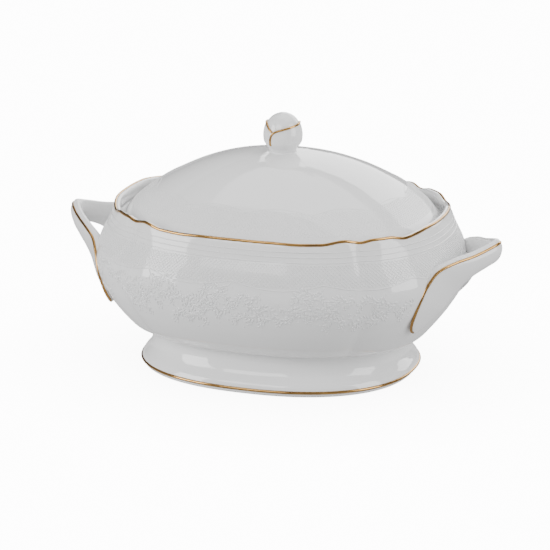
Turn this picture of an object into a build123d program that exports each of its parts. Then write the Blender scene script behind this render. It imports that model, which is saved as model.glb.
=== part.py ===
from build123d import *

import os
from bisect import bisect_right
from math import cos, exp, radians, sin

# Lidded soup tureen in glazed porcelain: an oval, four-lobed bowl on a flared foot, two wishbone
# handles, a domed lid with a rosebud knob, and a burnished gold line on every main edge.
# Millimetres. +X runs along the length, +Z is up, and z = 0 is the plane that the foot stands on.

# --- Driving sizes -------------------------------------------------------------------------------
OVAL_POWER = 2.3  # power of every plan outline: 2 is an ellipse, more is squarer
FOOT_TOP = 29.5  # where the bowl's underside sits on the foot
WALL = 4.2  # bowl wall
FLOOR = 5.0  # bowl floor

# Bowl outside: height, half length, half width.
BOWL_OUTER = [
    (FOOT_TOP, 109.0, 83.5),
    (32.5, 113.6, 90.4),
    (37.5, 118.2, 96.6),
    (45.0, 124.3, 103.5),
    (55.0, 131.5, 110.4),
    (68.0, 138.5, 116.3),
    (83.0, 141.5, 119.5),
    (98.0, 138.0, 117.3),
    (112.0, 131.5, 112.1),
]
LIP = (126.5, 108.2)  # half length and half width at the lip
FLOOR_REACH = (96.0, 79.5)  # half length and half width of the bowl's flat inside floor

# Four soft upright folds part the bowl's side panels from its end panels.
FOLD_ANGLE = 50.0  # outline parameter of a fold, degrees from +X
FOLD_DEPTH = 1.7
FOLD_WIDTH = 4.0
FOLD_ROUNDING = 0.15  # 0 is a sharp fold
INSIDE_FOLD = 0.6  # the folds show fainter on the inside

# Scalloped rim: height of the lip against |x|. Peaks stand each side of every fold.
RIM_WAVE = [
    (0.0, 124.8),
    (26.0, 124.6),
    (46.0, 123.9),
    (62.5, 124.1),
    (76.8, 126.3),
    (87.0, 124.2),
    (95.7, 125.9),
    (105.0, 126.0),
    (113.6, 123.5),
    (120.0, 125.0),
    (124.2, 126.2),
    (132.0, 125.8),
]

# Gallery: the ledge inside the mouth that the lid rests on.
LEDGE_TOP = 114.6
LEDGE_DEPTH = 5.0
LEDGE_BORE = (112.0, 93.6)
MOUTH = (126.0, 107.2)  # the bowl's inside just above the ledge
THROAT = (128.0, 108.6)  # the bowl's inside just below the ledge

# Lid: height, half length, half width. The last station bounds the flat crown.
LID_GAP = 0.3  # the lid stands this far above its ledge
LID_EDGE = LEDGE_TOP + LID_GAP
LID_OUTER = [
    (LID_EDGE, 117.0, 99.4),
    (LID_EDGE + 1.6, 118.2, 100.5),
    (119.0, 118.4, 100.7),
    (124.0, 114.6, 97.6),
    (130.0, 108.0, 92.0),
    (138.8, 96.0, 81.8),
    (146.6, 82.0, 69.8),
    (153.2, 68.0, 57.9),
    (158.6, 53.0, 45.1),
    (162.4, 38.0, 32.4),
    (164.8, 24.0, 20.4),
]
LID_REACH = max(half_length for _, half_length, _ in LID_OUTER)
LID_FOLD = 1.2  # depth of the bowl's folds where they run up the lid, less towards the crown
LID_FLANGE = (110.2, 91.8)  # locating flange under the lid
FLANGE_FOOT = 107.5
LID_INNER = [
    (FLANGE_FOOT, 106.4, 88.4),
    (LID_EDGE, 106.2, 88.2),
    (119.5, 105.0, 87.4),
    (126.0, 99.0, 83.0),
    (135.7, 84.5, 71.0),
    (147.6, 62.0, 52.0),
    (155.6, 40.0, 34.0),
    (160.4, 18.0, 15.6),
]

# Knob: a rosebud on a short neck, as (radius, height) from its seat on the lid to its tip.
KNOB_SEAT_RADIUS = 7.2
KNOB_SEAT = LID_OUTER[-1][0]
KNOB_PROFILE = [
    (10.0, 165.6),
    (10.8, 168.2),
    (13.4, 171.4),
    (15.2, 176.6),
    (14.8, 183.0),
    (12.7, 189.0),
    (8.0, 194.2),
    (0.0, 196.0),
]

# Foot: a hollow flared ring.
FOOT_EDGE = [(0.0, 103.8, 88.0), (1.5, 105.5, 89.5), (3.1, 106.2, 90.1)]  # below the gold line
FOOT_FLARE = [  # above the gold line
    (5.1, 106.3, 90.1),
    (8.2, 105.0, 89.2),
    (11.6, 102.2, 86.7),
    (16.0, 99.3, 83.8),
    (22.0, 98.6, 82.0),
    (FOOT_TOP, 101.6, 81.8),
]
FOOT_INNER = [(0.0, 99.6, 81.8), (12.0, 96.0, 78.6), (FOOT_TOP, 90.5, 73.6)]

# Handle stations from the crown of the loop (y = 0) to the tip of one leaf-shaped root: the gilded
# outer edge, the lower edge, how far the face between them swells outwards, the thickness, and how
# far the rounded top behind the gilded edge stands above it.
HANDLE_STATIONS = [
    ((170.9, 0.0, 110.0), (168.6, 0.0, 95.0), 2.6, 6.6, 2.6),
    ((165.2, 12.0, 107.3), (164.2, 10.5, 92.7), 2.4, 6.4, 2.6),
    ((156.6, 23.0, 103.8), (157.2, 19.0, 88.4), 2.2, 6.4, 2.6),
    ((147.0, 35.1, 101.4), (150.4, 24.6, 82.2), 1.8, 6.6, 2.4),
    ((136.8, 46.4, 96.4), (145.2, 28.6, 75.6), 1.4, 8.0, 1.8),
    ((131.0, 54.6, 87.0), (141.2, 32.6, 69.4), 1.2, 9.0, 1.0),
    ((127.8, 59.2, 78.0), (137.0, 36.8, 63.6), 1.0, 9.0, 0.5),
    ((124.4, 61.2, 68.2), (131.4, 41.2, 57.6), 0.8, 9.0, 0.3),
    ((121.2, 60.2, 58.9), (125.8, 45.6, 52.0), 0.6, 8.0, 0.2),
    ((119.6, 56.4, 52.6), (120.6, 50.2, 47.8), 0.4, 7.0, 0.1),
]

# Gilding: a fired film, modelled as a thin raised line.
GILD_FILM = 0.3  # how far it stands proud
GILD_SEAT = 1.0  # depth of the groove that it fills
RIM_GILD_WIDTH = 1.7
HANDLE_GILD_RADIUS = 0.8

# Outline parameters (degrees) of the points in one quarter, closest together at the fold.
QUARTER_ANGLES = [0, 11, 22, 32, 40, 45, 48, 50, 52, 55, 60, 68, 79]
RINGS_PER_STATION = 3


# --- Outlines ------------------------------------------------------------------------------------
def fold_inset(angle, depth):
    """How far a fold pulls the outline in, at an angle in degrees of the first quarter."""
    reach = (angle - FOLD_ANGLE) / FOLD_WIDTH
    return depth * exp(FOLD_ROUNDING**0.5 - (reach * reach + FOLD_ROUNDING) ** 0.5)


def quarter_point(angle, half_length, half_width, depth):
    """One point of the first quarter of a lobed outline."""
    c, s = max(cos(radians(angle)), 0.0), sin(radians(angle))
    inset = fold_inset(angle, depth)
    x = half_length * c ** (2 / OVAL_POWER) - inset * c
    y = half_width * s ** (2 / OVAL_POWER) - inset * s
    return x, y


def lip_height(x):
    """Height of the scalloped lip above a place along the length."""
    reach = abs(x)
    index = min(bisect_right([place for place, _ in RIM_WAVE], reach), len(RIM_WAVE) - 1)
    (start, low), (end, high) = RIM_WAVE[index - 1], RIM_WAVE[index]
    share = (reach - start) / (end - start)
    return low + (high - low) * share * share * (3 - 2 * share)


def ring(half_length, half_width, height, depth=0.0):
    """Closed lobed oval. Its height is a number, or a function of x for a wavy one."""
    first = [quarter_point(a, half_length, half_width, depth) for a in QUARTER_ANGLES]
    middle = (0.0, quarter_point(90, half_length, half_width, depth)[1])
    upper = first + [middle] + [(-x, y) for x, y in reversed(first)]
    places = upper + [(-x, -y) for x, y in upper[1:-1]]
    rise = height if callable(height) else lambda x: height
    return Wire([Spline([(x, y, rise(x)) for x, y in places], periodic=True)])


def between(share, before, start, end, after):
    """Catmull-Rom value a share of the way from start to end."""
    slope = (end - before) / 2
    next_slope = (after - start) / 2
    gap = end - start
    bend = 3 * gap - 2 * slope - next_slope
    return start + share * (slope + share * (bend + share * (slope + next_slope - 2 * gap)))


def refine(stations):
    """The stations, with more on a smooth curve between each and the next."""
    first = tuple(2 * near - far for near, far in zip(stations[0], stations[1]))
    last = tuple(2 * near - far for near, far in zip(stations[-1], stations[-2]))
    padded = [first, *stations, last]
    fine = []
    for four in zip(padded, padded[1:], padded[2:], padded[3:]):
        for step in range(RINGS_PER_STATION):
            share = step / RINGS_PER_STATION
            fine.append(tuple(between(share, *values) for values in zip(*four)))
    return fine + [stations[-1]]


def rings(stations, depth=0.0):
    """Rings through stations of height, half length and half width, close enough to look smooth."""
    return [ring(a, b, z, depth) for z, a, b in refine(stations)]


def straight(*wires):
    """Straight-sided skins from each closed wire to the next."""
    faces = []
    for start, end in zip(wires, wires[1:]):
        faces += Shell.make_loft([start, end], ruled=True).faces()
    return faces


def flat(outer, *inner):
    """Flat face inside a closed wire, with a hole for each inner wire."""
    return [Face(outer, list(inner))]


def solid(faces):
    """Closed solid from skins that share their edges."""
    return Solid(Shell(faces))


# --- Bowl and foot -------------------------------------------------------------------------------
def below_lip(x):
    """Lower edge of the gold line on the rim."""
    return lip_height(x) - RIM_GILD_WIDTH


def make_bowl():
    """Bowl with its floor, its scalloped lip and the ledge for the lid."""
    fold = FOLD_DEPTH
    inside = FOLD_DEPTH * INSIDE_FOLD
    seat = (LIP[0] - GILD_SEAT, LIP[1] - GILD_SEAT)
    groove = [ring(*seat, below_lip, fold), ring(*seat, lip_height, fold)]
    outside = rings(BOWL_OUTER, fold) + [ring(*LIP, below_lip, fold)]
    floor = (FOOT_TOP + FLOOR, *FLOOR_REACH)
    wall = [(z, a - WALL, b - WALL) for z, a, b in BOWL_OUTER[2:-1]]
    throat = (LEDGE_TOP - LEDGE_DEPTH, *THROAT)
    low = rings([floor, *wall, throat], inside)
    bore = [ring(*LEDGE_BORE, LEDGE_TOP - LEDGE_DEPTH), ring(*LEDGE_BORE, LEDGE_TOP)]
    mouth = ring(*MOUTH, LEDGE_TOP, inside)
    lip = ring(LIP[0] - WALL, LIP[1] - WALL, lip_height, inside)
    faces = straight(*outside, *groove, lip, mouth) + straight(*low)
    faces += flat(mouth, bore[1]) + straight(*bore) + flat(low[-1], bore[0])
    faces += flat(outside[0]) + flat(low[0])
    return solid(faces)


def make_foot():
    """Hollow flared foot ring, with a groove for its gold line."""
    edge = rings(FOOT_EDGE)
    flare = rings(FOOT_FLARE)
    inner = rings(FOOT_INNER)
    groove = [ring(a - GILD_SEAT, b - GILD_SEAT, z) for z, a, b in (FOOT_EDGE[-1], FOOT_FLARE[0])]
    faces = straight(*edge, *groove, *flare) + straight(*inner)
    faces += flat(edge[0], inner[0]) + flat(flare[-1], inner[-1])
    return solid(faces)


# --- Handles -------------------------------------------------------------------------------------
def mirror_y(point):
    """The same place on the other root of the handle."""
    return (point[0], -point[1], point[2])


def all_stations():
    """Handle stations in order, from one root's tip over the crown to the other root's tip."""
    other = []
    for gilded, lower, *sizes in reversed(HANDLE_STATIONS[1:]):
        other.append((mirror_y(gilded), mirror_y(lower), *sizes))
    return other + HANDLE_STATIONS


def directions(points):
    """Direction of travel at each point of a path."""
    last = len(points) - 1
    return [points[min(i + 1, last)] - points[max(i - 1, 0)] for i in range(len(points))]


def handle_section(station, ahead):
    """Rounded strap section: its face swells outwards between the two edges."""
    gilded, lower, swell, thick, crown = station
    start, span = Vector(gilded), Vector(lower) - Vector(gilded)
    inward = ahead.cross(span).normalized()
    if inward.X > 0:
        inward = inward * -1

    def at(share, depth):
        return start + span * share + inward * depth

    face = Spline([at(0, 0), at(0.3, -swell), at(0.7, -swell), at(1, 0)])
    top = -crown / span.length
    back_places = [(1, 0), (0.94, 0.5), (0.72, 0.95), (0.35, 1.02), (0.04, 0.88), (top, 0.4), (0, 0)]
    back = Spline([at(share, depth * thick) for share, depth in back_places])
    return Wire([face, back])


def make_handle(bowl_body):
    """Right handle: a strap loop whose two roots spread into leaves on the bowl's end."""
    stations = all_stations()
    middles = [(Vector(station[0]) + Vector(station[1])) * 0.5 for station in stations]
    sections = [handle_section(*pair) for pair in zip(stations, directions(middles))]
    return Solid.make_loft(sections) - bowl_body


def make_handle_gilding():
    """Gold line along the right handle's upper edge, down to the tips of the leaves."""
    points = [Vector(station[0]) for station in all_stations()]
    planes = [Plane(origin=point, z_dir=ahead) for point, ahead in zip(points, directions(points))]
    return Solid.make_loft([Wire.make_circle(HANDLE_GILD_RADIUS, plane) for plane in planes])


# --- Lid -----------------------------------------------------------------------------------------
def make_lid():
    """Domed lid with the flange that locates it in the ledge."""
    outside = [ring(a, b, z, LID_FOLD * a / LID_REACH) for z, a, b in refine(LID_OUTER)]
    inside = rings(LID_INNER)
    flange = [ring(*LID_FLANGE, LID_EDGE), ring(*LID_FLANGE, FLANGE_FOOT)]
    faces = straight(*outside) + straight(*inside)
    faces += flat(outside[0], flange[0]) + straight(*flange) + flat(flange[1], inside[0])
    faces += flat(outside[-1]) + flat(inside[-1])
    return solid(faces)


def make_knob():
    """Rosebud knob, seated on the flat of the lid's crown."""
    profile = [(r, 0, z) for r, z in KNOB_PROFILE]
    side = Spline(profile)
    base = Polyline(profile[-1], (0, 0, KNOB_SEAT), (KNOB_SEAT_RADIUS, 0, KNOB_SEAT), profile[0])
    return revolve(make_face(Wire([side, *base.edges()])), Axis.Z)


# --- Gilding -------------------------------------------------------------------------------------
def gold_ring(low, high, low_height, high_height, depth=0.0):
    """Gold line that fills its groove and stands a film's thickness proud."""
    wires = []
    for (half_length, half_width), height, grow in (
        (low, low_height, GILD_FILM),
        (high, high_height, GILD_FILM),
        (high, high_height, -GILD_SEAT),
        (low, low_height, -GILD_SEAT),
    ):
        wires.append(ring(half_length + grow, half_width + grow, height, depth))
    return solid(straight(*wires, wires[0]))


def make_foot_gilding():
    """Gold line round the foot's edge."""
    (low_z, *low), (high_z, *high) = FOOT_EDGE[-1], FOOT_FLARE[0]
    return gold_ring(low, high, low_z, high_z)


def write(node, shape):
    """Write one node's STEP file."""
    shape.label = node
    export_step(shape, f"parts/{node}.step")


def main():
    """Model every piece and write it."""
    os.makedirs("parts", exist_ok=True)
    wall = rings([*BOWL_OUTER, (LEDGE_TOP + 10, *LIP)], FOLD_DEPTH)
    handle = make_handle(solid(straight(*wall) + flat(wall[0]) + flat(wall[-1])))
    handle_gilding = make_handle_gilding()
    write("bowl", make_bowl())
    write("foot", make_foot())
    write("handle_right", handle)
    write("handle_left", mirror(handle, about=Plane.YZ))
    write("lid", make_lid())
    write("knob", make_knob())
    write("rim_gilding", gold_ring(LIP, LIP, below_lip, lip_height, FOLD_DEPTH))
    write("foot_gilding", make_foot_gilding())
    write("handle_right_gilding", handle_gilding)
    write("handle_left_gilding", mirror(handle_gilding, about=Plane.YZ))


main()
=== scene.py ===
"""Looks of the lidded soup tureen: glazed white porcelain with relief and burnished gold lines.

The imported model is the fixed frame. Every piece here stands for one of its nodes, sits in the same
place and rides on the same body. Sizes in the classes are millimetres; meshes are made in metres.
"""

from __future__ import annotations

import logging
import math
import random
from dataclasses import dataclass, field
from enum import Enum
from typing import Callable, Sequence

import bmesh
import bpy
import numpy as np
from mathutils import Matrix, Vector

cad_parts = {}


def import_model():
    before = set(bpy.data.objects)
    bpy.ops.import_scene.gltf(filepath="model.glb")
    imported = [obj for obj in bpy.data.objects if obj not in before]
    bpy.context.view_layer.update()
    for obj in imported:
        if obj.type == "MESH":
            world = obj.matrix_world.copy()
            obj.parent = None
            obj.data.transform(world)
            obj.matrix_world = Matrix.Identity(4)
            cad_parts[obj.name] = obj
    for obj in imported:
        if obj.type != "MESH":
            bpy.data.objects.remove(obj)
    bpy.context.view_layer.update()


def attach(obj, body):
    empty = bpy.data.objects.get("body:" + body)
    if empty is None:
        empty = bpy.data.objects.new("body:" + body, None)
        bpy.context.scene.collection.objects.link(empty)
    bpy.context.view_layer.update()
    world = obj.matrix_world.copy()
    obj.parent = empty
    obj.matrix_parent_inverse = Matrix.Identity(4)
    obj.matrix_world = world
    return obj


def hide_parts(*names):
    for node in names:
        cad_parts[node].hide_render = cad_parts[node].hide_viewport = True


LOG = logging.getLogger("tureen")
MM = 0.001
Station = tuple[float, float, float]
Profile = tuple[float, float]
Colour = tuple[float, float, float, float]
Mark = tuple[float, float, float, Station]
Placed = tuple[np.ndarray, np.ndarray, np.ndarray]

ANGLE_STEP = 0.005  # radians between the spots that give a wall's direction along it
PLACE_STEP = 0.4  # millimetres between the spots that give its direction up it


class Body(str, Enum):
    """The two pieces that part by hand."""

    BOWL = "bowl_assembly"
    LID = "lid_assembly"


class Slot(str, Enum):
    """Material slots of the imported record."""

    PORCELAIN = "porcelain"
    GILDING = "gilding"


class Side(Enum):
    """Which end of the bowl a handle is on."""

    RIGHT = 1
    LEFT = -1


# --- Curves and outlines --------------------------------------------------------------------------
def smooth_through(points: Sequence[Sequence[float]], per_span: int) -> np.ndarray:
    """Catmull-Rom curve through points.

    Args:
        points: Points in order, of any dimension.
        per_span: Samples between one point and the next.

    Returns:
        Array of samples, the last point included.
    """
    p = np.asarray(points, float)
    padded = np.vstack([2 * p[0] - p[1], p, 2 * p[-1] - p[-2]])
    steps = np.linspace(0.0, 1.0, per_span, endpoint=False)[:, None]
    spans = []
    for a, b, c, d in zip(padded, padded[1:], padded[2:], padded[3:]):
        bend = (2 * a - 5 * b + 4 * c - d) * steps**2
        twist = (3 * b - a - 3 * c + d) * steps**3
        spans.append(0.5 * (2 * b + (c - a) * steps + bend + twist))
    return np.vstack(spans + [p[-1:]])


def monotone(xs: Sequence[float], ys: Sequence[float], at: np.ndarray) -> np.ndarray:
    """Smooth interpolation with no overshoot (Fritsch-Carlson).

    Args:
        xs: Places in rising order.
        ys: Values there.
        at: Places to work out.

    Returns:
        Values at those places.
    """
    x, y = np.asarray(xs, float), np.asarray(ys, float)
    h, d = np.diff(x), np.diff(y) / np.diff(x)
    slope = np.zeros_like(y)
    same = d[:-1] * d[1:] > 0
    w1, w2 = 2 * h[1:] + h[:-1], h[1:] + 2 * h[:-1]
    slope[1:-1][same] = ((w1 + w2)[same]) / (w1[same] / d[:-1][same] + w2[same] / d[1:][same])
    slope[0], slope[-1] = d[0], d[-1]
    q = np.clip(at, x[0], x[-1])
    i = np.clip(np.searchsorted(x, q) - 1, 0, len(x) - 2)
    t = (q - x[i]) / h[i]
    return (
        y[i] * (1 + 2 * t) * (1 - t) ** 2
        + slope[i] * h[i] * t * (1 - t) ** 2
        + y[i + 1] * t**2 * (3 - 2 * t)
        + slope[i + 1] * h[i] * t**2 * (t - 1)
    )


@dataclass(frozen=True)
class LobedOval:
    """Plan outline of the tureen: a squared oval with four soft upright folds."""

    power: float = 2.3
    fold_angle: float = 50.0
    fold_width: float = 4.0
    fold_rounding: float = 0.15

    def inset(self, angles: np.ndarray) -> np.ndarray:
        """How far the folds pull the outline in, as a share of their depth."""
        folded = np.degrees(np.arctan2(np.abs(np.sin(angles)), np.abs(np.cos(angles))))
        reach = (folded - self.fold_angle) / self.fold_width
        return np.exp(math.sqrt(self.fold_rounding) - np.sqrt(reach**2 + self.fold_rounding))

    def ring(
        self,
        half_length: float | np.ndarray,
        half_width: float | np.ndarray,
        angles: np.ndarray,
        depth: float | np.ndarray = 0.0,
    ) -> np.ndarray:
        """Outline points.

        Args:
            half_length: Half size along X.
            half_width: Half size along Y.
            angles: Outline parameters in radians.
            depth: Depth of the folds.

        Returns:
            Array of x, y pairs.
        """
        c, s = np.cos(angles), np.sin(angles)
        inset = self.inset(angles) * depth
        x = half_length * np.sign(c) * np.abs(c) ** (2 / self.power) - inset * c
        y = half_width * np.sign(s) * np.abs(s) ** (2 / self.power) - inset * s
        return np.stack([x, y], axis=1)


OVAL = LobedOval()


@dataclass(frozen=True)
class Wall:
    """Lobed wall. A place up it is a height, or a half length where the wall is a shallow dome."""

    walls: tuple[Station, ...] = ()
    fold_depth: float = 0.0
    domed: bool = False

    def sizes(self, place: np.ndarray) -> list[np.ndarray]:
        """Height, half length and half width at each place up the wall."""
        key = int(self.domed)
        columns = list(zip(*sorted(self.walls, key=lambda station: station[key])))
        return [monotone(columns[key], column, place) for column in columns]

    def folds(self, half_length: np.ndarray) -> np.ndarray:
        """Depth of the folds; on a dome they fade towards its crown."""
        widest = max(station[1] for station in self.walls)
        return self.fold_depth * (half_length / widest if self.domed else np.ones_like(half_length))

    def spots(self, angles: np.ndarray, place: np.ndarray) -> np.ndarray:
        """Points on the wall at each outline parameter and place."""
        z, a, b = self.sizes(place)
        return np.column_stack([OVAL.ring(a, b, angles, self.folds(a)), z])

    def lifted(self, angles: np.ndarray, place: np.ndarray, lift: float) -> Placed:
        """Points on or above the wall.

        Args:
            angles: Outline parameters in radians.
            place: Places up the wall.
            lift: Distance out from the wall.

        Returns:
            Points, unit normals, and unit directions along the wall.
        """
        rise = -PLACE_STEP if self.domed else PLACE_STEP
        along = self.spots(angles + ANGLE_STEP, place) - self.spots(angles - ANGLE_STEP, place)
        up = self.spots(angles, place + rise) - self.spots(angles, place - rise)
        normal = np.cross(along, up)
        normal /= np.linalg.norm(normal, axis=1, keepdims=True)
        along /= np.linalg.norm(along, axis=1, keepdims=True)
        return self.spots(angles, place) + normal * lift, normal, along


@dataclass(frozen=True)
class BowlForm(Wall):
    """Outside of the bowl, shared by the bowl, its relief, its handles and its gold line."""

    walls: tuple[Station, ...] = (
        (29.5, 109.0, 83.5),
        (32.5, 113.6, 90.4),
        (37.5, 118.2, 96.6),
        (45.0, 124.3, 103.5),
        (55.0, 131.5, 110.4),
        (68.0, 138.5, 116.3),
        (83.0, 141.5, 119.5),
        (98.0, 138.0, 117.3),
        (112.0, 131.5, 112.1),
        (124.6, 126.5, 108.2),
    )
    lip: Profile = (126.5, 108.2)
    wave: tuple[Profile, ...] = (
        (0.0, 124.8),
        (26.0, 124.6),
        (46.0, 123.9),
        (62.5, 124.1),
        (76.8, 126.3),
        (87.0, 124.2),
        (95.7, 125.9),
        (105.0, 126.0),
        (113.6, 123.5),
        (120.0, 125.0),
        (124.2, 126.2),
        (132.0, 125.8),
    )
    fold_depth: float = 2.3

    def half_sizes(self, z: np.ndarray) -> tuple[np.ndarray, np.ndarray]:
        """Half length and half width at each height."""
        _, lengths, widths = self.sizes(z)
        return lengths, widths

    def lip_height(self, x: np.ndarray) -> np.ndarray:
        """Height of the scalloped lip above each place along the length."""
        places, heights = zip(*self.wave)
        return monotone(places, heights, np.abs(x))

    def hold_in_wall(self, point: Vector, depth: float) -> Vector:
        """Moves a point that lies deeper in the bowl than depth out to that depth."""
        a, b = self.half_sizes(np.array([point.z]))
        a, b = float(a[0]), float(b[0])
        level = ((abs(point.x) / a) ** OVAL.power + (abs(point.y) / b) ** OVAL.power) ** (1 / OVAL.power)
        least = 1 - depth / a
        if level >= least:
            return point
        return Vector((point.x * least / level, point.y * least / level, point.z))


BOWL_FORM = BowlForm()


# --- Meshes ---------------------------------------------------------------------------------------
def link(obj: bpy.types.Object) -> bpy.types.Object:
    """Puts an object in the scene."""
    bpy.context.scene.collection.objects.link(obj)
    return obj


def mesh_object(
    name: str, verts: np.ndarray, faces: list[tuple[int, ...]], smooth: bool = True
) -> bpy.types.Object:
    """Mesh object from millimetre points."""
    mesh = bpy.data.meshes.new(name)
    mesh.from_pydata((np.asarray(verts) * MM).tolist(), [], faces)
    mesh.update()
    mesh.validate()
    mesh.polygons.foreach_set("use_smooth", [smooth] * len(mesh.polygons))
    return link(bpy.data.objects.new(name, mesh))


def skin(name: str, rows: list[np.ndarray], looped: bool) -> bpy.types.Object:
    """Closed surface through rings of points that wind the same way.

    Args:
        name: Name of the object.
        rows: Rings of equal count. A ring of one point is a pole.
        looped: True if the last ring joins the first.

    Returns:
        The object, with faces outwards when rings wind anticlockwise and rise on the outside.
    """
    verts = np.vstack(rows)
    starts = np.cumsum([0] + [len(r) for r in rows[:-1]])
    faces: list[tuple[int, ...]] = []
    pairs = list(zip(range(len(rows) - 1), range(1, len(rows))))
    if looped:
        pairs.append((len(rows) - 1, 0))
    for i, j in pairs:
        a, b, na, nb = starts[i], starts[j], len(rows[i]), len(rows[j])
        count = max(na, nb)
        for k in range(count):
            n = (k + 1) % count
            if na == 1:
                faces.append((a, b + n, b + k))
            elif nb == 1:
                faces.append((a + k, a + n, b))
            else:
                faces.append((a + k, a + n, b + n, b + k))
    return mesh_object(name, verts, faces)


def ring_angles(count: int) -> np.ndarray:
    """Evenly spread outline parameters."""
    return np.linspace(0, 2 * math.pi, count, endpoint=False)


def level_ring(
    half_length: float, half_width: float, z: float, angles: np.ndarray, depth: float = 0.0
) -> np.ndarray:
    """Points of the lobed outline at one height."""
    xy = OVAL.ring(half_length, half_width, angles, depth)
    return np.column_stack([xy, np.full(len(xy), z)])


# --- Finishes -------------------------------------------------------------------------------------
def new_group(name: str, inputs: dict[str, float], outputs: dict[str, str]) -> bpy.types.NodeTree:
    """Empty shader group with float inputs and named outputs."""
    tree = bpy.data.node_groups.new(name, "ShaderNodeTree")
    for label, value in inputs.items():
        socket = tree.interface.new_socket(label, in_out="INPUT", socket_type="NodeSocketFloat")
        socket.default_value = value
    for label, kind in outputs.items():
        tree.interface.new_socket(label, in_out="OUTPUT", socket_type=kind)
    return tree


def kiln_tone_group() -> bpy.types.NodeTree:
    """Slow drift of tone and gloss that firing leaves, with fine speckle.

    Returns:
        Group with outputs Tone (0 to 1), Gloss (0 to 1) and Ripple (height).
    """
    tree = new_group(
        "kiln_tone",
        {"Drift Scale": 9.0, "Speckle Scale": 900.0, "Ripple Scale": 60.0},
        {"Tone": "NodeSocketFloat", "Gloss": "NodeSocketFloat", "Ripple": "NodeSocketFloat"},
    )
    nodes, links = tree.nodes, tree.links
    source, out = nodes.new("NodeGroupInput"), nodes.new("NodeGroupOutput")
    coords = nodes.new("ShaderNodeTexCoord")
    noises = (("Drift Scale", "Tone", 2.0), ("Speckle Scale", "Gloss", 1.0), ("Ripple Scale", "Ripple", 1.5))
    for label, output, detail in noises:
        noise = nodes.new("ShaderNodeTexNoise")
        noise.inputs["Detail"].default_value = detail
        links.new(coords.outputs["Object"], noise.inputs["Vector"])
        links.new(source.outputs[label], noise.inputs["Scale"])
        links.new(noise.outputs["Fac"], out.inputs[output])
    return tree


def toned_material(
    name: str, first: Colour, second: Colour, roughness: Profile, scales: dict[str, float]
) -> tuple[bpy.types.Material, bpy.types.Node]:
    """Material whose colour and gloss drift with the kiln tone.

    Args:
        name: Name of the material.
        first: Colour at the low end of the drift.
        second: Colour at the high end.
        roughness: Roughness at the low and the high end of the gloss.
        scales: Noise scales that differ from the group's own.

    Returns:
        The material, and its kiln tone node.
    """
    material = bpy.data.materials.new(name)
    material.use_nodes = True
    nodes, links = material.node_tree.nodes, material.node_tree.links
    shader = nodes["Principled BSDF"]
    tone = nodes.new("ShaderNodeGroup")
    tone.node_tree = bpy.data.node_groups["kiln_tone"]
    for label, value in scales.items():
        tone.inputs[label].default_value = value
    mix = nodes.new("ShaderNodeMix")
    mix.data_type = "RGBA"
    mix.inputs["A"].default_value = first
    mix.inputs["B"].default_value = second
    links.new(tone.outputs["Tone"], mix.inputs["Factor"])
    links.new(mix.outputs["Result"], shader.inputs["Base Color"])
    gloss = nodes.new("ShaderNodeMapRange")
    gloss.inputs["To Min"].default_value, gloss.inputs["To Max"].default_value = roughness
    links.new(tone.outputs["Gloss"], gloss.inputs["Value"])
    links.new(gloss.outputs["Result"], shader.inputs["Roughness"])
    return material, tone


@dataclass(frozen=True)
class GlazeFinish:
    """Clear gloss glaze on white porcelain."""

    name: str = "glazed_porcelain"
    pale: Colour = (0.80, 0.80, 0.80, 1.0)
    cool: Colour = (0.775, 0.778, 0.78, 1.0)
    roughness: Profile = (0.035, 0.07)
    refraction: float = 1.5
    ripple: float = 0.02
    coat: float = 0.25
    coat_roughness: float = 0.03

    def build(self) -> bpy.types.Material:
        """The material."""
        material, tone = toned_material(self.name, self.pale, self.cool, self.roughness, {})
        nodes, links = material.node_tree.nodes, material.node_tree.links
        shader = nodes["Principled BSDF"]
        shader.inputs["IOR"].default_value = self.refraction
        shader.inputs["Coat Roughness"].default_value = self.coat_roughness
        shader.inputs["Coat Weight"].default_value = self.coat
        bump = nodes.new("ShaderNodeBump")
        bump.inputs["Strength"].default_value = self.ripple
        bump.inputs["Distance"].default_value = MM
        links.new(tone.outputs["Ripple"], bump.inputs["Height"])
        links.new(bump.outputs["Normal"], shader.inputs["Normal"])
        return material


@dataclass(frozen=True)
class GoldFinish:
    """Burnished gold, laid by brush and a little thin in places."""

    name: str = "burnished_gold"
    bright: Colour = (0.66, 0.39, 0.14, 1.0)
    deep: Colour = (0.12, 0.06, 0.018, 1.0)
    roughness: Profile = (0.06, 0.15)
    brush_scale: float = 60.0
    grain_scale: float = 400.0

    def build(self) -> bpy.types.Material:
        """The material."""
        scales = {"Drift Scale": self.brush_scale, "Speckle Scale": self.grain_scale}
        material, _ = toned_material(self.name, self.bright, self.deep, self.roughness, scales)
        material.node_tree.nodes["Principled BSDF"].inputs["Metallic"].default_value = 1.0
        return material


@dataclass
class Palette:
    """The finishes, built once."""

    porcelain: bpy.types.Material
    gold: bpy.types.Material

    @classmethod
    def build(cls) -> Palette:
        """Builds the shader groups, then the finishes."""
        kiln_tone_group()
        return cls(GlazeFinish().build(), GoldFinish().build())


def dress(obj: bpy.types.Object, material: bpy.types.Material, body: Body, slot: Slot, *nodes: str) -> None:
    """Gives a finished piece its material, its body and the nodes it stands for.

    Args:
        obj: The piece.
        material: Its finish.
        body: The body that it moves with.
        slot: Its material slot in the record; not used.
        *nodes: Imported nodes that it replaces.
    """
    obj.data.materials.clear()
    obj.data.materials.append(material)
    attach(obj, body.value)
    if nodes:
        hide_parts(*nodes)
    LOG.info("%s: %d faces on %s", obj.name, len(obj.data.polygons), body.value)


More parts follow.
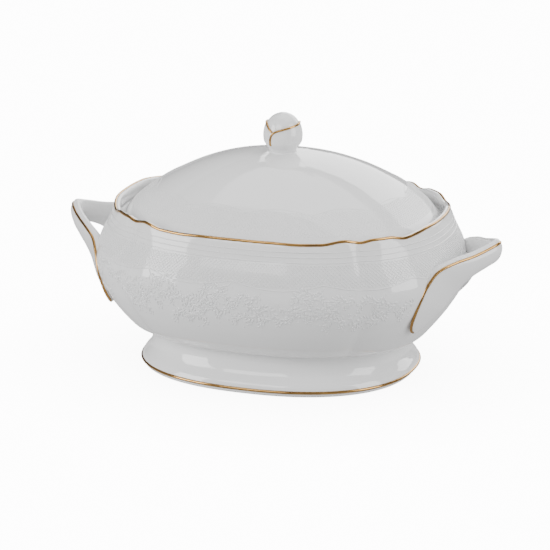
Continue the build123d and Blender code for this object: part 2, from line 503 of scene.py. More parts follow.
# --- Lines that follow a path ---------------------------------------------------------------------
def geometry_tree(name: str, numbers: dict[str, float]) -> tuple[bpy.types.NodeTree, bpy.types.Node]:
    """Geometry nodes tree with the inputs that every piece needs.

    Args:
        name: Name of the tree.
        numbers: Its own inputs with their values; whole numbers become whole number sockets.

    Returns:
        The tree, and its input node.
    """
    tree = bpy.data.node_groups.new(name, "GeometryNodeTree")
    face = tree.interface
    face.new_socket("Geometry", in_out="INPUT", socket_type="NodeSocketGeometry")
    for label, value in numbers.items():
        kind = "NodeSocketInt" if isinstance(value, int) else "NodeSocketFloat"
        face.new_socket(label, in_out="INPUT", socket_type=kind).default_value = value
    face.new_socket("Finish", in_out="INPUT", socket_type="NodeSocketMaterial")
    face.new_socket("Geometry", in_out="OUTPUT", socket_type="NodeSocketGeometry")
    return tree, tree.nodes.new("NodeGroupInput")


def realize_and_paint(
    tree: bpy.types.NodeTree, source: bpy.types.Node, geometry: bpy.types.NodeSocket
) -> None:
    """Ends a tree: its geometry becomes real and gets the finish from the input node."""
    nodes, links = tree.nodes, tree.links
    real = nodes.new("GeometryNodeRealizeInstances")
    paint = nodes.new("GeometryNodeSetMaterial")
    links.new(geometry, real.inputs["Geometry"])
    links.new(real.outputs["Geometry"], paint.inputs["Geometry"])
    links.new(source.outputs["Finish"], paint.inputs["Material"])
    links.new(paint.outputs["Geometry"], nodes.new("NodeGroupOutput").inputs["Geometry"])


def line_tree() -> None:
    """Geometry nodes that turn paths into raised rounded lines."""
    tree, source = geometry_tree("raised_line", {"Radius": 0.0005, "Sides": 8})
    nodes, links = tree.nodes, tree.links
    circle = nodes.new("GeometryNodeCurvePrimitiveCircle")
    sweep = nodes.new("GeometryNodeCurveToMesh")
    sweep.inputs["Fill Caps"].default_value = True
    shade = nodes.new("GeometryNodeSetShadeSmooth")
    links.new(source.outputs["Radius"], circle.inputs["Radius"])
    links.new(source.outputs["Sides"], circle.inputs["Resolution"])
    links.new(source.outputs["Geometry"], sweep.inputs["Curve"])
    links.new(circle.outputs["Curve"], sweep.inputs["Profile Curve"])
    links.new(sweep.outputs["Mesh"], shade.inputs["Geometry"])
    realize_and_paint(tree, source, shade.outputs["Geometry"])


def set_inputs(modifier: bpy.types.Modifier, values: dict[str, object]) -> None:
    """Sets a geometry nodes modifier's inputs by their sockets' identifiers."""
    for item in modifier.node_group.interface.items_tree:
        if item.item_type == "SOCKET" and item.in_out == "INPUT" and item.name in values:
            modifier[item.identifier] = values[item.name]


def frozen(source: bpy.types.Object, name: str) -> bpy.types.Object:
    """Plain mesh object from an object's evaluated geometry; the source is removed."""
    graph = bpy.context.evaluated_depsgraph_get()
    mesh = bpy.data.meshes.new_from_object(source.evaluated_get(graph))
    mesh.name = name
    source.modifiers.clear()
    bpy.data.objects.remove(source)
    return link(bpy.data.objects.new(name, mesh))


def raised_lines(
    name: str,
    paths: list[np.ndarray],
    radius: float,
    finish: bpy.types.Material,
    closed: bool = False,
    sides: int = 8,
    tapers: list[np.ndarray] | None = None,
) -> bpy.types.Object:
    """Raised rounded lines along paths.

    Args:
        name: Name of the piece.
        paths: Millimetre points of each line.
        radius: Radius of the line.
        finish: Its material.
        closed: True if each line is a loop.
        sides: Sides of the line's section.
        tapers: Share of the radius at each point of each path.

    Returns:
        One plain mesh object.
    """
    curve = bpy.data.curves.new(name + "_paths", "CURVE")
    curve.dimensions = "3D"
    for index, path in enumerate(paths):
        spline = curve.splines.new("POLY")
        spline.points.add(len(path) - 1)
        flat = np.hstack([np.asarray(path) * MM, np.ones((len(path), 1))])
        spline.points.foreach_set("co", flat.ravel())
        if tapers is not None:
            spline.points.foreach_set("radius", tapers[index])
        spline.use_cyclic_u = closed
    source = link(bpy.data.objects.new(name + "_paths", curve))
    modifier = source.modifiers.new("lines", "NODES")
    modifier.node_group = bpy.data.node_groups["raised_line"]
    set_inputs(modifier, {"Radius": radius * MM, "Sides": sides, "Finish": finish})
    return frozen(source, name)


# --- Bowl and foot --------------------------------------------------------------------------------
@dataclass
class Bowl:
    """Lobed bowl with a scalloped lip, an inner ledge and a rounded inside."""

    form: BowlForm = BOWL_FORM
    segments: int = 480
    base_z: float = 29.4
    floor_z: float = 34.5
    wall: float = 4.3
    inside_fold: float = 0.6
    lip_level: float = 124.6
    scallop_start: float = 112.0
    scallop_reach: float = 10.0
    underside: tuple[float, ...] = (0.25, 0.6, 0.9, 0.985)
    outside: tuple[tuple[float, float, int], ...] = ((29.6, 45.0, 18), (46.5, 112.0, 40), (113.0, 122.6, 10))
    inside: tuple[float, float, int] = (101.0, 43.0, 24)
    lip_round: tuple[Profile, ...] = (
        (0.0, 1.2),
        (0.35, 0.5),
        (1.0, 0.06),
        (1.9, 0.0),
        (2.9, 0.1),
        (3.7, 0.6),
        (4.1, 1.4),
    )
    ledge: tuple[tuple[float, float, float, float], ...] = (
        (122.4, 104.0, 121.4, 0.8),
        (123.0, 104.6, 119.0, 0.4),
        (124.0, 105.5, 116.6, 0.1),
        (124.2, 105.7, 115.4, 0.0),
        (123.4, 104.9, 114.7, 0.0),
        (121.0, 102.5, 114.6, 0.0),
        (114.0, 95.6, 114.6, 0.0),
        (112.5, 94.1, 114.3, 0.0),
        (112.0, 93.6, 113.6, 0.0),
        (112.0, 93.6, 110.6, 0.0),
        (112.6, 94.2, 109.8, 0.0),
        (114.5, 96.0, 109.4, 0.0),
        (122.0, 103.5, 107.0, 0.0),
        (129.0, 109.0, 104.5, 0.0),
    )
    basin: tuple[Station, ...] = (
        (112.5, 93.4, 39.4),
        (106.0, 87.8, 36.8),
        (98.0, 81.0, 35.4),
        (86.0, 71.0, 34.7),
        (60.0, 49.0, 34.5),
        (25.0, 20.0, 34.5),
    )

    def meridian(self) -> list[tuple[float, float, float, float, float]]:
        """Stations from the middle of the underside, up the outside, over the lip to the inside floor.

        Returns:
            Half length, half width, height, fold depth and how far each follows the scallops.
        """
        form, fold = self.form, self.form.fold_depth
        base_a, base_b = form.walls[0][1:]
        rows = [(base_a * share, base_b * share, self.base_z, fold * share, 0.0) for share in self.underside]
        heights = np.concatenate([np.linspace(*band) for band in self.outside])
        for z, a, b in zip(heights, *form.half_sizes(heights)):
            follow = float(np.clip((z - self.scallop_start) / self.scallop_reach, 0, 1)) ** 1.5
            rows.append((a, b, z, fold, follow))
        a, b = form.lip
        for inset, drop in self.lip_round:
            rows.append((a - inset, b - inset, self.lip_level - drop, fold * (1 - 0.1 * inset), 1.0))
        inner = fold * self.inside_fold
        rows += [(a, b, z, inner, follow) for a, b, z, follow in self.ledge]
        for z in np.linspace(*self.inside):
            a, b = form.half_sizes(np.array([z]))
            rows.append((a[0] - self.wall, b[0] - self.wall, z, inner, 0.0))
        rows += [(a, b, z, inner * a / self.basin[0][0], 0.0) for a, b, z in self.basin]
        return rows

    def build(self) -> bpy.types.Object:
        """The bowl's mesh."""
        angles = ring_angles(self.segments)
        rings = [np.array([[0.0, 0.0, self.base_z]])]
        for a, b, z, fold, follow in self.meridian():
            xy = OVAL.ring(a, b, angles, fold)
            lift = (self.form.lip_height(xy[:, 0] * self.form.lip[0] / a) - self.lip_level) * follow
            rings.append(np.column_stack([xy, z + lift]))
        rings.append(np.array([[0.0, 0.0, self.floor_z]]))
        return skin("bowl_shell", rings, looped=False)

    def dress(self, palette: Palette) -> None:
        """Builds and finishes the bowl."""
        dress(self.build(), palette.porcelain, Body.BOWL, Slot.PORCELAIN, "bowl")


@dataclass
class Foot:
    """Hollow flared foot ring."""

    segments: int = 360
    line: Station = (106.2, 90.05, 4.2)
    line_radius: float = 1.2
    outside: tuple[Station, ...] = (
        (0.0, 103.0, 87.3),
        (0.25, 104.0, 88.2),
        (1.4, 105.3, 89.4),
        (3.1, 106.2, 90.1),
        (5.1, 106.3, 90.1),
        (8.2, 105.0, 89.2),
        (11.6, 102.2, 86.7),
        (16.0, 99.3, 83.8),
        (22.0, 98.6, 82.0),
        (26.5, 99.6, 81.8),
        (29.4, 102.0, 81.9),
    )
    inside: tuple[Station, ...] = (
        (29.4, 90.5, 73.6),
        (12.0, 96.0, 78.6),
        (1.2, 99.4, 81.7),
        (0.2, 100.2, 82.5),
        (0.0, 101.2, 83.4),
    )

    def build(self) -> bpy.types.Object:
        """The foot's mesh."""
        angles = ring_angles(self.segments)
        rows = np.vstack([smooth_through(self.outside, 5), smooth_through(self.inside, 5)])
        rings = [level_ring(a, b, z, angles) for z, a, b in rows]
        return skin("foot_ring", rings, looped=True)

    def dress(self, palette: Palette) -> None:
        """Builds and finishes the foot and its gold line."""
        dress(self.build(), palette.porcelain, Body.BOWL, Slot.PORCELAIN, "foot")
        path = level_ring(*self.line, ring_angles(self.segments))
        line = raised_lines("foot_gold_line", [path], self.line_radius, palette.gold, closed=True, sides=10)
        dress(line, palette.gold, Body.BOWL, Slot.GILDING, "foot_gilding")


@dataclass
class RimGilding:
    """Gold line along the outer edge of the scalloped lip."""

    form: BowlForm = BOWL_FORM
    radius: float = 1.2
    inset: float = 0.35
    drop: float = 0.75
    segments: int = 720

    def dress(self, palette: Palette) -> None:
        """Builds and finishes the gold line."""
        a, b = self.form.lip
        xy = OVAL.ring(a - self.inset, b - self.inset, ring_angles(self.segments), self.form.fold_depth)
        path = np.column_stack([xy, self.form.lip_height(xy[:, 0]) - self.drop])
        line = raised_lines("rim_gold_line", [path], self.radius, palette.gold, closed=True, sides=10)
        dress(line, palette.gold, Body.BOWL, Slot.GILDING, "rim_gilding")


# --- Handles --------------------------------------------------------------------------------------
@dataclass
class Handle:
    """Strap loop whose two roots spread into leaves on the bowl's end."""

    side: Side
    form: BowlForm = BOWL_FORM
    root_depth: float = 1.6
    per_span: int = 9
    line_radius: float = 1.15
    face: tuple[Profile, ...] = (
        (0.0, 0.0),
        (0.03, 0.35),
        (0.12, 0.72),
        (0.26, 0.96),
        (0.42, 1.04),
        (0.58, 0.98),
        (0.74, 0.78),
        (0.88, 0.42),
        (0.97, 0.05),
    )
    back: tuple[Profile, ...] = (
        (1.0, 0.06),
        (0.95, 0.2),
        (0.87, 0.4),
        (0.78, 0.62),
        (0.69, 0.83),
        (0.6, 0.97),
        (0.46, 1.03),
        (0.3, 1.02),
        (0.16, 0.98),
        (0.05, 0.9),
    )
    crown: tuple[Profile, ...] = ((0.5, 0.78), (0.88, 0.6), (1.0, 0.42), (0.9, 0.24), (0.5, 0.08))
    stations: tuple[tuple[Station, Station, float, float, float], ...] = (
        ((170.9, 0.0, 110.0), (168.6, 0.0, 95.0), 2.6, 6.6, 2.6),
        ((165.2, 12.0, 107.3), (164.2, 10.5, 92.7), 2.4, 6.4, 2.6),
        ((156.6, 23.0, 103.8), (157.2, 19.0, 88.4), 2.2, 6.4, 2.6),
        ((147.0, 35.1, 101.4), (150.4, 24.6, 82.2), 1.8, 6.6, 2.0),
        ((136.8, 46.4, 96.4), (145.2, 28.6, 75.6), 1.4, 8.0, 1.4),
        ((131.0, 54.6, 87.0), (141.2, 32.6, 69.4), 1.2, 9.0, 1.0),
        ((127.8, 59.2, 78.0), (137.0, 36.8, 63.6), 1.0, 9.0, 0.5),
        ((124.4, 61.2, 68.2), (131.4, 41.2, 57.6), 0.8, 9.0, 0.3),
        ((121.2, 60.2, 58.9), (125.8, 45.6, 52.0), 0.6, 8.0, 0.2),
        ((119.6, 56.4, 52.6), (120.6, 50.2, 47.8), 0.4, 7.0, 0.1),
    )
    hook: Station = (119.9, 52.6, 50.2)

    def path(self) -> np.ndarray:
        """Smoothed stations from one root to the other: two edge points, then the section's sizes."""
        half = np.array([[*gilded, *lower, *sizes] for gilded, lower, *sizes in self.stations])
        other = half[:0:-1].copy()
        other[:, [1, 4]] *= -1
        return smooth_through(np.vstack([other, half]), self.per_span)

    def section(self, row: np.ndarray, ahead: Vector) -> list[Vector]:
        """Closed strap section at one place.

        Args:
            row: One smoothed station.
            ahead: Direction of the path there.

        Returns:
            Points round the section, from the gilded edge down the face and back up behind.
        """
        start, end = Vector(row[0:3]), Vector(row[3:6])
        across = end - start
        inward = ahead.cross(across).normalized()
        inward *= -math.copysign(1.0, inward.x)
        swell, thick = row[6], row[7]
        top = row[8] / across.length
        shape = [(share, -swell * out) for share, out in self.face]
        shape += [(share, thick * deep) for share, deep in self.back]
        shape += [(-top * rise, thick * deep) for rise, deep in self.crown]
        points = [start + across * share + inward * depth for share, depth in shape]
        return [self.form.hold_in_wall(point, self.root_depth) for point in points]

    def build(self) -> bpy.types.Object:
        """The handle's mesh."""
        rows = self.path()
        middles = [(Vector(r[0:3]) + Vector(r[3:6])) * 0.5 for r in rows]
        rings = []
        for i, row in enumerate(rows):
            ahead = middles[min(i + 1, len(rows) - 1)] - middles[max(i - 1, 0)]
            rings.append(np.array([p[:] for p in self.section(row, ahead)]))
        caps = [ring.mean(axis=0, keepdims=True) for ring in (rings[0], rings[-1])]
        rings = [caps[0]] + rings + [caps[1]]
        if self.side is Side.LEFT:
            rings = [ring * np.array([-1.0, 1.0, 1.0]) for ring in rings]
        obj = skin(f"handle_{self.side.name.lower()}_strap", rings, looped=False)
        fix_normals(obj)
        return obj

    def dress(self, palette: Palette) -> None:
        """Builds and finishes the handle and its gold line."""
        side = self.side.name.lower()
        dress(self.build(), palette.porcelain, Body.BOWL, Slot.PORCELAIN, f"handle_{side}")
        flip = np.array([self.side.value, 1.0, 1.0])
        edge = [gilded for gilded, *_ in self.stations] + [self.hook]
        other = [(x, -y, z) for x, y, z in edge[:0:-1]]
        path = smooth_through(other + edge, self.per_span) * flip
        line = raised_lines(f"handle_{side}_gold_line", [path], self.line_radius, palette.gold, sides=10)
        dress(line, palette.gold, Body.BOWL, Slot.GILDING, f"handle_{side}_gilding")


def fix_normals(obj: bpy.types.Object) -> None:
    """Turns every face of a closed mesh outwards."""
    work = bmesh.new()
    work.from_mesh(obj.data)
    bmesh.ops.remove_doubles(work, verts=work.verts, dist=1e-7)
    bmesh.ops.recalc_face_normals(work, faces=work.faces)
    work.to_mesh(obj.data)
    work.free()
    obj.data.polygons.foreach_set("use_smooth", [True] * len(obj.data.polygons))


# --- Lid and knob ---------------------------------------------------------------------------------
LID_DOME = Wall(
    walls=(
        (120.6, 117.3, 99.8),
        (124.6, 113.9, 96.9),
        (130.0, 108.0, 92.0),
        (138.8, 96.0, 81.8),
        (146.6, 82.0, 69.8),
        (153.2, 68.0, 57.9),
        (158.6, 53.0, 45.1),
        (162.4, 38.0, 32.4),
        (164.9, 22.0, 19.0),
        (165.6, 10.0, 8.7),
        (165.7, 3.0, 2.6),
    ),
    fold_depth=1.2,
    domed=True,
)


@dataclass
class Lid:
    """Domed lid with a flange that locates it on the ledge."""

    segments: int = 420
    dome: Wall = LID_DOME
    dome_lengths: tuple[float, float, int] = (115.5, 3.0, 76)
    edge_overlap: int = 3
    inside_top: float = 161.1
    top: float = 165.8
    edge: tuple[Station, ...] = (
        (114.9, 114.0, 96.8),
        (115.1, 116.6, 99.2),
        (116.2, 118.0, 100.4),
        (118.2, 118.5, 100.8),
        (120.6, 117.3, 99.8),
        (122.5, 115.7, 98.4),
    )
    inside: tuple[Station, ...] = (
        (161.0, 10.0, 9.0),
        (160.2, 22.0, 19.0),
        (155.6, 42.0, 35.6),
        (147.6, 64.0, 53.8),
        (135.7, 86.5, 73.0),
        (125.0, 100.0, 84.4),
        (118.0, 105.4, 88.0),
        (108.6, 106.4, 88.4),
        (107.6, 107.2, 89.2),
        (107.5, 109.0, 90.8),
        (108.2, 110.1, 91.8),
        (113.9, 110.2, 91.8),
        (114.7, 111.0, 93.6),
    )

    def build(self) -> bpy.types.Object:
        """The lid's mesh."""
        angles = ring_angles(self.segments)
        edge = smooth_through(self.edge, 6)[: -self.edge_overlap]
        rings = [np.array([[0.0, 0.0, self.inside_top]])]
        rings += [level_ring(a, b, z, angles) for z, a, b in smooth_through(self.inside, 5)]
        rings += [level_ring(a, b, z, angles, self.dome.fold_depth) for z, a, b in edge]
        for a in np.linspace(*self.dome_lengths):
            rings.append(self.dome.spots(angles, np.full(len(angles), a)))
        rings.append(np.array([[0.0, 0.0, self.top]]))
        return skin("lid_dome", rings, looped=False)

    def dress(self, palette: Palette) -> None:
        """Builds and finishes the lid."""
        dress(self.build(), palette.porcelain, Body.LID, Slot.PORCELAIN, "lid")


@dataclass
class Rosebud:
    """Knob in the shape of a rosebud: a core wrapped in two wide petals with gold edges."""

    facing: float = math.radians(-90 + 18.2)
    tip: float = 196.0
    core: tuple[Profile, ...] = (
        (164.6, 12.6),
        (165.4, 11.0),
        (166.6, 10.3),
        (168.4, 10.7),
        (171.0, 12.3),
        (175.0, 14.1),
        (179.0, 14.4),
        (184.0, 13.7),
        (188.5, 12.0),
        (191.6, 9.8),
        (194.0, 6.7),
        (195.4, 3.4),
    )
    edge: tuple[Profile, ...] = (
        (-40.0, 172.5),
        (-39.0, 176.0),
        (-36.0, 179.6),
        (-30.0, 182.2),
        (-20.0, 183.8),
        (-6.0, 185.0),
        (11.0, 186.1),
        (33.0, 187.2),
        (58.0, 188.0),
        (85.0, 188.6),
        (110.0, 187.4),
        (130.0, 184.6),
        (150.0, 181.5),
    )
    turns: Profile = (0.0, -178.0)
    foot: float = 166.5
    tuck: float = 0.25
    spread: float = 0.9
    swell_height: float = 7.0
    curl: float = 2.0
    curl_from: float = 0.75
    crowding: float = 1.4
    shell: float = 0.8
    line_radius: float = 0.85
    core_bands: tuple[tuple[float, float, int], ...] = ((164.6, 189.0, 44), (189.5, 195.4, 22))

    def radius(self, z: float) -> float:
        """Radius of the core at a height."""
        return float(monotone(*zip(*self.core), np.array([z]))[0])

    def build_core(self) -> bpy.types.Object:
        """The bud's core with its neck."""
        count = 96
        angles = ring_angles(count)
        rings = [np.array([[0.0, 0.0, self.core[0][0]]])]
        for z in np.concatenate([np.linspace(*band) for band in self.core_bands]):
            r = self.radius(z)
            rings.append(np.column_stack([r * np.cos(angles), r * np.sin(angles), np.full(count, z)]))
        rings.append(np.array([[0.0, 0.0, self.tip]]))
        return skin("knob_bud", rings, looped=False)

    def petal_point(self, share: float, rise: float, turn: float) -> list[float]:
        """A place on a petal's outside.

        Args:
            share: 0 at the free edge to 1 at the edge tucked under the next petal.
            rise: 0 at the foot to 1 at the top.
            turn: Angle of the petal round the bud.

        Returns:
            The place.
        """
        start, end = self.edge[0][0], self.edge[-1][0]
        angle = start + (end - start) * share
        top = float(monotone(*zip(*self.edge), np.array([angle]))[0])
        z = self.foot + (top - self.foot) * rise
        proud = self.tuck + self.spread * (1 - share) ** 0.8
        fade = min(1.0, (z - self.foot) / self.swell_height)
        lip = self.curl * max(0.0, rise - self.curl_from) ** 2
        r = self.radius(z) + proud * fade * fade * (3 - 2 * fade) + lip * (1 - share)
        a = self.facing + math.radians(angle) + turn
        return [r * math.cos(a), r * math.sin(a), z]

    def build_petal(self, turn: float, index: int) -> bpy.types.Object:
        """One petal as a thin closed shell."""
        columns, rows = 120, 26
        shares = np.linspace(0, 1, columns) ** self.crowding
        rises = np.linspace(0, 1, rows)
        outer = np.array([[self.petal_point(share, rise, turn) for rise in rises] for share in shares])
        inner = outer.copy()
        length = np.linalg.norm(outer[..., :2], axis=-1, keepdims=True)
        inner[..., :2] *= (length - self.shell) / length
        verts = np.vstack([outer.reshape(-1, 3), inner.reshape(-1, 3)])
        shift = columns * rows
        faces: list[tuple[int, ...]] = []
        for i in range(columns - 1):
            for j in range(rows - 1):
                corner = i * rows + j
                quad = (corner, corner + rows, corner + rows + 1, corner + 1)
                faces.append(quad)
                faces.append(tuple(v + shift for v in reversed(quad)))
        border = [i * rows for i in range(columns)]
        border += [(columns - 1) * rows + j for j in range(1, rows)]
        border += [i * rows + rows - 1 for i in range(columns - 2, -1, -1)]
        border += list(range(rows - 2, 0, -1))
        for a, b in zip(border, border[1:] + border[:1]):
            faces.append((a, a + shift, b + shift, b))
        obj = mesh_object(f"knob_petal_{index}", verts, faces)
        fix_normals(obj)
        return obj

    def dress(self, palette: Palette) -> None:
        """Builds and finishes the bud, its petals and their gold edges."""
        dress(self.build_core(), palette.porcelain, Body.LID, Slot.PORCELAIN, "knob")
        paths, tapers = [], []
        for index, degrees in enumerate(self.turns):
            turn = math.radians(degrees)
            dress(self.build_petal(turn, index + 1), palette.porcelain, Body.LID, Slot.PORCELAIN)
            shares = np.linspace(0.0, 0.97, 90) ** self.crowding
            paths.append(np.array([self.petal_point(share, 1.0, turn) for share in shares]))
            tapers.append(np.clip(0.35 + 6 * shares, 0.35, 1.0))
        line = raised_lines("knob_gold_line", paths, self.line_radius, palette.gold, sides=10, tapers=tapers)
        dress(line, palette.gold, Body.LID, Slot.GILDING)


# --- Relief ---------------------------------------------------------------------------------------
def bead_tree() -> None:
    """Geometry nodes that set a small mound at each point, sized and turned by its attributes."""
    tree, source = geometry_tree("relief_beads", {"Segments": 8, "Rings": 5})
    nodes, links = tree.nodes, tree.links
    mound = nodes.new("GeometryNodeMeshUVSphere")
    mound.inputs["Radius"].default_value = 1.0
    place = nodes.new("GeometryNodeInstanceOnPoints")
    for label, socket in (("turn", "Rotation"), ("grow", "Scale")):
        read = nodes.new("GeometryNodeInputNamedAttribute")
        read.data_type = "FLOAT_VECTOR"
        read.inputs["Name"].default_value = label
        links.new(read.outputs["Attribute"], place.inputs[socket])
    shade = nodes.new("GeometryNodeSetShadeSmooth")
    links.new(source.outputs["Segments"], mound.inputs["Segments"])
    links.new(source.outputs["Rings"], mound.inputs["Rings"])
    links.new(source.outputs["Geometry"], place.inputs["Points"])
    links.new(mound.outputs["Mesh"], shade.inputs["Geometry"])
    links.new(shade.outputs["Geometry"], place.inputs["Instance"])
    realize_and_paint(tree, source, place.outputs["Instances"])


def joined(name: str, pieces: list[bpy.types.Object]) -> bpy.types.Object:
    """One mesh object from several; the pieces are removed."""
    work = bmesh.new()
    for piece in pieces:
        work.from_mesh(piece.data)
        bpy.data.objects.remove(piece)
    mesh = bpy.data.meshes.new(name)
    work.to_mesh(mesh)
    work.free()
    mesh.polygons.foreach_set("use_smooth", [True] * len(mesh.polygons))
    return link(bpy.data.objects.new(name, mesh))


@dataclass
class Relief:
    """White relief in the mould: a netted band with a swagged edge, and sprays of leaves and florets."""

    name: str
    wall: Wall
    body: Body
    swags: int
    net: tuple[float, float]
    swag_drop: float
    borders: tuple[float, ...]
    pitch: float = 2.9
    crowd: int = 3
    cord: float = 0.34
    border: float = 1.2
    tiers: tuple[float, ...] = ()
    bare: float = 0.0
    seed: int = 7
    reach: Profile = (19.0, 26.0)
    fall: Profile = (7.0, 12.0)
    facets: tuple[int, int] = (6, 4)
    leaf: Station = (1.9, 0.8, 0.5)
    petal: Station = (1.0, 0.65, 0.5)
    dot: Station = (0.65, 0.65, 0.45)
    lengths: np.ndarray = field(init=False)
    angles: np.ndarray = field(init=False)

    def __post_init__(self) -> None:
        """Measures the way round the wall, so that the pattern keeps its size."""
        self.angles = np.linspace(0, 2 * math.pi, 2881)
        loop = self.wall.spots(self.angles, np.full(len(self.angles), sum(self.net) / 2))
        steps = np.linalg.norm(np.diff(loop, axis=0), axis=1)
        self.lengths = np.concatenate([[0.0], np.cumsum(steps)])

    @property
    def down(self) -> float:
        """Which way a place changes from the net's plain edge to its swagged edge."""
        return math.copysign(1.0, self.net[1] - self.net[0])

    def angle(self, way: np.ndarray) -> np.ndarray:
        """Outline parameter at each distance round the wall."""
        total = self.lengths[-1]
        return np.interp(np.mod(way, total), self.lengths, self.angles) + 2 * math.pi * np.floor(way / total)

    def swag(self, way: np.ndarray) -> np.ndarray:
        """Place of the net's swagged edge at each distance round the wall."""
        phase = np.mod(way * self.swags / self.lengths[-1], 1.0)
        return self.net[1] + self.down * self.swag_drop * (np.sin(math.pi * phase) - 1)

    def loop(self, places: Callable[[np.ndarray], np.ndarray], count: int = 720) -> np.ndarray:
        """Closed line round the wall."""
        way = np.linspace(0, self.lengths[-1], count, endpoint=False)
        return self.wall.lifted(self.angle(way), places(way), 0.05)[0]

    def clear_of_handles(self, spots: np.ndarray) -> np.ndarray:
        """Which points lie outside the bare strips where the handles stand."""
        return np.abs(spots[:, 1]) > self.bare

    def netting(self) -> list[np.ndarray]:
        """The net's crossing cords, each cut off at the swagged edge."""
        count = round(self.lengths[-1] / self.pitch)
        fall = np.linspace(0, abs(self.net[1] - self.net[0]), 10)
        place = self.net[0] + self.down * fall
        cords = []
        for lean in (1.0, -1.0):
            for index in range(count):
                way = index * self.lengths[-1] / count + lean * fall
                keep = self.down * (self.swag(way) - place) > 0
                if keep.sum() > 2:
                    cords.append(self.wall.lifted(self.angle(way[keep]), place[keep], 0.0)[0])
        return cords

    def mounds(self, marks: list[Mark], finish: bpy.types.Material) -> bpy.types.Object:
        """Mounds for leaves, petals and dots.

        Args:
            marks: Distance round, place, heading in radians, and half sizes of each mound.
            finish: Their material.

        Returns:
            One plain mesh object.
        """
        way, place, heading, sizes = (np.array(column, float) for column in zip(*marks))
        spots, normals, along = self.wall.lifted(self.angle(way), place, 0.0)
        free = self.clear_of_handles(spots)
        columns = (spots, normals, along, heading, sizes)
        spots, normals, along, heading, sizes = (column[free] for column in columns)
        mesh = bpy.data.meshes.new(self.name + "_marks")
        mesh.from_pydata((spots * MM).tolist(), [], [])
        turns = []
        for normal, run, angle in zip(normals, along, heading):
            n, x = Vector(normal), Vector(run)
            x = Matrix.Rotation(float(angle), 3, n) @ x
            turns.extend(Matrix((x, n.cross(x), n)).transposed().to_euler()[:])
        for label, values in (("turn", turns), ("grow", (sizes * MM).ravel())):
            mesh.attributes.new(label, "FLOAT_VECTOR", "POINT").data.foreach_set("vector", values)
        source = link(bpy.data.objects.new(self.name + "_marks", mesh))
        modifier = source.modifiers.new("beads", "NODES")
        modifier.node_group = bpy.data.node_groups["relief_beads"]
        segments, rings = self.facets
        set_inputs(modifier, {"Segments": segments, "Rings": rings, "Finish": finish})
        return frozen(source, self.name + "_mounds")

    def spray(
        self, way: float, place: float, lean: float, dice: random.Random
    ) -> tuple[np.ndarray, list[Mark]]:
        """One spray: a curved stem with paired leaves, a floret at its end and dots about it.

        Args:
            way: Distance round the wall of the stem's root.
            place: Place of the root.
            lean: 1 if it leans forwards round the wall, -1 if back.
            dice: Seeded source of small differences.

        Returns:
            Points of the stem, and the marks of its mounds.
        """
        steps = np.linspace(0, 1, 12)
        reach, fall = dice.uniform(*self.reach), dice.uniform(*self.fall)
        ways = way + lean * reach * steps
        places = place + self.down * fall * (steps + 0.35 * np.sin(steps * 2 * math.pi))
        marks: list[Mark] = []
        for index in range(1, 11):
            rise = -self.down * (places[index + 1] - places[index - 1])
            slope = math.atan2(rise, ways[index + 1] - ways[index - 1])
            for side in (0.75, -0.75):
                heading = slope + side * lean + dice.uniform(-0.2, 0.2)
                off = dice.uniform(2.0, 2.9)
                across, up = off * math.cos(heading), off * math.sin(heading)
                marks.append((ways[index] + across, places[index] - self.down * up, heading, self.leaf))
        for end, size in ((steps[-1], 2.0), (0.45, 1.7)):
            centre = (way + lean * reach * end, place + self.down * (fall * end + (5.5 if end < 1 else 1.5)))
            marks.append((*centre, 0.0, self.dot))
            for petal in range(5):
                angle = petal * 2 * math.pi / 5 + dice.uniform(0, 0.3)
                spot = (centre[0] + size * math.cos(angle), centre[1] - self.down * size * math.sin(angle))
                marks.append((*spot, angle, self.petal))
        for _ in range(7):
            off = (dice.uniform(-3, reach + 3) * lean, dice.uniform(-2, fall + 7) * self.down)
            marks.append((way + off[0], place + off[1], 0.0, self.dot))
        return self.wall.lifted(self.angle(ways), places, 0.0)[0], marks

    def dress(self, palette: Palette) -> None:
        """Builds and finishes the net with its borders, and the sprays below it."""
        dice = random.Random(self.seed)
        bounds = [self.loop(lambda way, at=at: np.full(len(way), at)) for at in self.borders]
        bounds.append(self.loop(self.swag))
        border = self.cord * self.border
        net = [
            raised_lines(self.name + "_cords", self.netting(), self.cord, palette.porcelain, sides=5),
            raised_lines(self.name + "_borders", bounds, border, palette.porcelain, closed=True, sides=6),
        ]
        dress(joined(self.name + "_net", net), palette.porcelain, self.body, Slot.PORCELAIN)
        if not self.tiers:
            return
        stems: list[np.ndarray] = []
        marks: list[Mark] = []
        count = self.swags * self.crowd
        roots = np.arange(count) * self.lengths[-1] / count
        for tier, drop in enumerate(self.tiers):
            for root in roots + roots[1] * 0.5 * tier:
                low = float(self.swag(np.array([root]))[0]) + self.down * (drop + dice.uniform(-1.5, 1.5))
                stem, more = self.spray(root, low, dice.choice((1.0, -1.0)), dice)
                if self.clear_of_handles(stem).all():
                    stems.append(stem)
                marks += more
        sprays = [
            raised_lines(self.name + "_stems", stems, self.cord, palette.porcelain, sides=5),
            self.mounds(marks, palette.porcelain),
        ]
        dress(joined(self.name + "_sprays", sprays), palette.porcelain, self.body, Slot.PORCELAIN)


# --- Studio ---------------------------------------------------------------------------------------
@dataclass(frozen=True)
class Glow:
    """One soft source of the white room, brightest along its axis."""

    axis: tuple[float, float, float]
    strength: float
    sharpness: float


